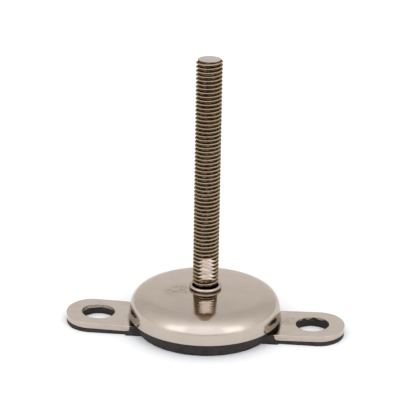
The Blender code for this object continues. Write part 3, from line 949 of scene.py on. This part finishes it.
def soften(pad):
    """Round the moulded edges a little and let the surface wander."""
    remesh = pad.modifiers.new("even_mesh", "REMESH")
    remesh.mode = "VOXEL"
    remesh.voxel_size = RUBBER_VOXEL * MM
    smooth = pad.modifiers.new("soft_edges", "SMOOTH")
    smooth.factor = RUBBER_SMOOTH_FACTOR
    smooth.iterations = RUBBER_SMOOTHING
    apply_modifiers(pad)
    moved = []
    for vert in pad.data.vertices:
        here = vert.co / MM
        level = min(1.0, max(0.0, here.z / RUBBER_CALM_Z))
        shift = noise.noise(here * RUBBER_WAVE_FREQUENCY) * RUBBER_WAVE * level
        moved.extend(vert.co + vert.normal * shift * MM)
    pad.data.vertices.foreach_set("co", moved)
    pad.data.update()
    pad.data.shade_smooth()


# --------------------------------------------------------------------- stage

def toward_camera(turn_deg, elevation_deg=0.0):
    """A direction turned from the camera's about the vertical, at an elevation."""
    azimuth = math.radians(CAMERA_AZIMUTH_DEG + turn_deg)
    elevation = math.radians(elevation_deg)
    return Vector((math.sin(azimuth) * math.cos(elevation), -math.cos(azimuth) * math.cos(elevation),
                   math.sin(elevation)))


def make_camera():
    azimuth = math.radians(CAMERA_AZIMUTH_DEG)
    roll = math.radians(CAMERA_ROLL_DEG)
    right = Vector((math.cos(azimuth), math.sin(azimuth), 0.0))
    back = toward_camera(0.0, CAMERA_ELEVATION_DEG)
    up = back.cross(right)
    camera_x = right * math.cos(roll) + up * math.sin(roll)
    camera_y = up * math.cos(roll) - right * math.sin(roll)
    aim = right * CAMERA_AIM_RIGHT + Vector((0.0, 0.0, CAMERA_AIM_Z))
    turn = Matrix((camera_x, camera_y, back)).transposed()
    data = bpy.data.cameras.new("camera")
    data.lens = CAMERA_LENS
    data.sensor_width = CAMERA_SENSOR
    data.clip_start, data.clip_end = CAMERA_CLIP_M
    camera = bpy.data.objects.new("camera", data)
    camera.matrix_world = Matrix.Translation((aim + back * CAMERA_DISTANCE) * MM) @ turn.to_4x4()
    bpy.context.scene.collection.objects.link(camera)
    bpy.context.scene.camera = camera


# Brightness of the studio by direction: position runs from straight behind the
# foot (0) over its sides and straight up (0.5) to straight in front of it (1).
STUDIO_STOPS = (
    (0.00, 1.04), (0.05, 0.95), (0.13, 0.80), (0.25, 0.82), (0.38, 0.91), (0.50, 1.00),
    (0.62, 1.16), (0.72, 1.32), (0.80, 1.50), (0.86, 1.60), (0.93, 1.58), (1.00, 1.55),
)
STUDIO_TOP = 1.85               # brightness that the ramp's white stands for
STUDIO_COOL_FROM = 0.62         # beyond this position the light turns cooler
STUDIO_COOL_FULL = 0.86
STUDIO_COOL = (1.0, 1.035, 1.10)
HORIZON_SHADE = 0.5             # brightness left in a low dark band in front
HORIZON_TOP = (0.01, 0.085)     # sines of the elevations between which the band fades out
HORIZON_SPAN = (0.5, 0.8)       # cosines from the camera's direction between which it fades in
SOFTBOX_AZIMUTH_DEG = 45.0      # either side of the camera's direction
SOFTBOX_EDGE_DEG = 21.0         # a box fades from its core out to its edge
SOFTBOX_CORE_DEG = 2.0
SOFTBOX_FOOT = (-0.05, 0.1)     # sines of the elevations between which a box fades in
SOFTBOX_HEAD = (0.35, 0.8)      # and out again
SOFTBOX_GAIN = 0.55
SUN_ELEVATION_DEG = 42.0
SUN_SPREAD_DEG = 70.0
SUN_STRENGTH = 1.3


def studio_color(position, brightness):
    """The ramp's grey for a brightness, cooler towards the front."""
    share = (position - STUDIO_COOL_FROM) / (STUDIO_COOL_FULL - STUDIO_COOL_FROM)
    cool = min(1.0, max(0.0, share))
    gray = brightness / STUDIO_TOP
    return (*(gray * (1.0 + (tint - 1.0) * cool) for tint in STUDIO_COOL), 1.0)


def make_world():
    """A soft studio: light from the front with two soft boxes, fading to a grey back wall."""
    world = bpy.data.worlds.new("studio")
    bpy.context.scene.world = world
    world.use_nodes = True
    nodes = NodeTree(world.node_tree)
    background = nodes.tree.nodes["Background"]
    direction = nodes.tree.nodes.new("ShaderNodeTexCoord").outputs["Generated"]
    ahead = nodes.math_vector("DOT_PRODUCT", direction, toward_camera(0.0))
    height = nodes.math_vector("DOT_PRODUCT", direction, (0.0, 0.0, 1.0))
    level = nodes.math_vector("NORMALIZE", nodes.math_vector("MULTIPLY", direction, (1.0, 1.0, 0.0)))

    ramp = nodes.tree.nodes.new("ShaderNodeValToRGB")
    elements = ramp.color_ramp.elements
    while len(elements) < len(STUDIO_STOPS):
        elements.new(0.5)
    for element, (position, brightness) in zip(elements, STUDIO_STOPS):
        element.position = position
        element.color = studio_color(position, brightness)
    nodes.link(nodes.math("MULTIPLY", nodes.math("ADD", ahead, 1.0), 0.5), ramp.inputs["Fac"])

    low_share = nodes.remap(height, *HORIZON_TOP, 1.0, 0.0)
    front_share = nodes.remap(ahead, *HORIZON_SPAN, 0.0, 1.0)
    shade_share = nodes.math("MULTIPLY", low_share, front_share)
    kept = nodes.math("SUBTRACT", nodes.math("MULTIPLY", shade_share, HORIZON_SHADE - 1.0), -1.0)
    strength = nodes.math("MULTIPLY", kept, STUDIO_TOP)
    edge = math.cos(math.radians(SOFTBOX_EDGE_DEG))
    core = math.cos(math.radians(SOFTBOX_CORE_DEG))
    upright = nodes.math("MULTIPLY", nodes.remap(height, *SOFTBOX_FOOT, 0.0, 1.0),
                         nodes.remap(height, *SOFTBOX_HEAD, 1.0, 0.0))
    for side in (-1, 1):
        beside = nodes.math_vector("DOT_PRODUCT", level, toward_camera(side * SOFTBOX_AZIMUTH_DEG))
        across = nodes.remap(beside, edge, core, 0.0, SOFTBOX_GAIN)
        strength = nodes.math("ADD", strength, nodes.math("MULTIPLY", across, upright))
    nodes.link(ramp.outputs["Color"], background.inputs["Color"])
    nodes.link(strength, background.inputs["Strength"])


def make_sun():
    """A broad soft key light from the front, which brightens the floor there."""
    data = bpy.data.lights.new("key_light", "SUN")
    data.energy = SUN_STRENGTH
    data.angle = math.radians(SUN_SPREAD_DEG)
    lamp = bpy.data.objects.new("key_light", data)
    lamp.rotation_euler = toward_camera(0.0, SUN_ELEVATION_DEG).to_track_quat("Z", "Y").to_euler()
    lamp.visible_glossy = False
    bpy.context.scene.collection.objects.link(lamp)


def make_floor():
    bm = bmesh.new()
    bmesh.ops.create_grid(bm, x_segments=1, y_segments=1, size=FLOOR_HALF_M / MM)
    floor = mesh_object("floor", bm)
    mat = bpy.data.materials.new("pale_floor")
    mat.use_nodes = True
    shader = mat.node_tree.nodes["Principled BSDF"]
    shader.inputs["Base Color"].default_value = FLOOR_COLOR
    shader.inputs["Roughness"].default_value = FLOOR_ROUGHNESS
    shader.inputs["Specular IOR Level"].default_value = 0.0
    floor.data.materials.append(mat)


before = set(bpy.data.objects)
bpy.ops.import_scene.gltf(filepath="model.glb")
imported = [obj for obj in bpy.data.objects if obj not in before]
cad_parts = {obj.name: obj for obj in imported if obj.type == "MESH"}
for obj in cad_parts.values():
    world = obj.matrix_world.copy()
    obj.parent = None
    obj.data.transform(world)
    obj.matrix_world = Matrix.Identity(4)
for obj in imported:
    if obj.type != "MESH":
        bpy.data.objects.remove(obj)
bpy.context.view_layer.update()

make_camera()
make_world()
make_sun()
make_floor()
bpy.context.scene.view_settings.view_transform = "Standard"

sizes = Sizes()
place(make_rubber(sizes), "base", "rubber_pad")
flash = make_flash(sizes)
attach(flash, "base")
place(make_strap(sizes), "base", "lug_plate")
place(make_weld(), "base", "housing_weld")
place(make_housing(), "base", "socket_housing")
place(make_dome(sizes), "base", "dome_shell")
place(make_seat(), "seat", "ball_seat")
place(make_seal(), "seal", "neck_seal")
stud_materials = [thread_steel(), milled_steel("wrench_flat_steel", FLAT_COLOR),
                  milled_steel("stud_end_steel", STUD_END_COLOR)]
place(make_stud(sizes, stud_materials), "stud", "ball_stud")
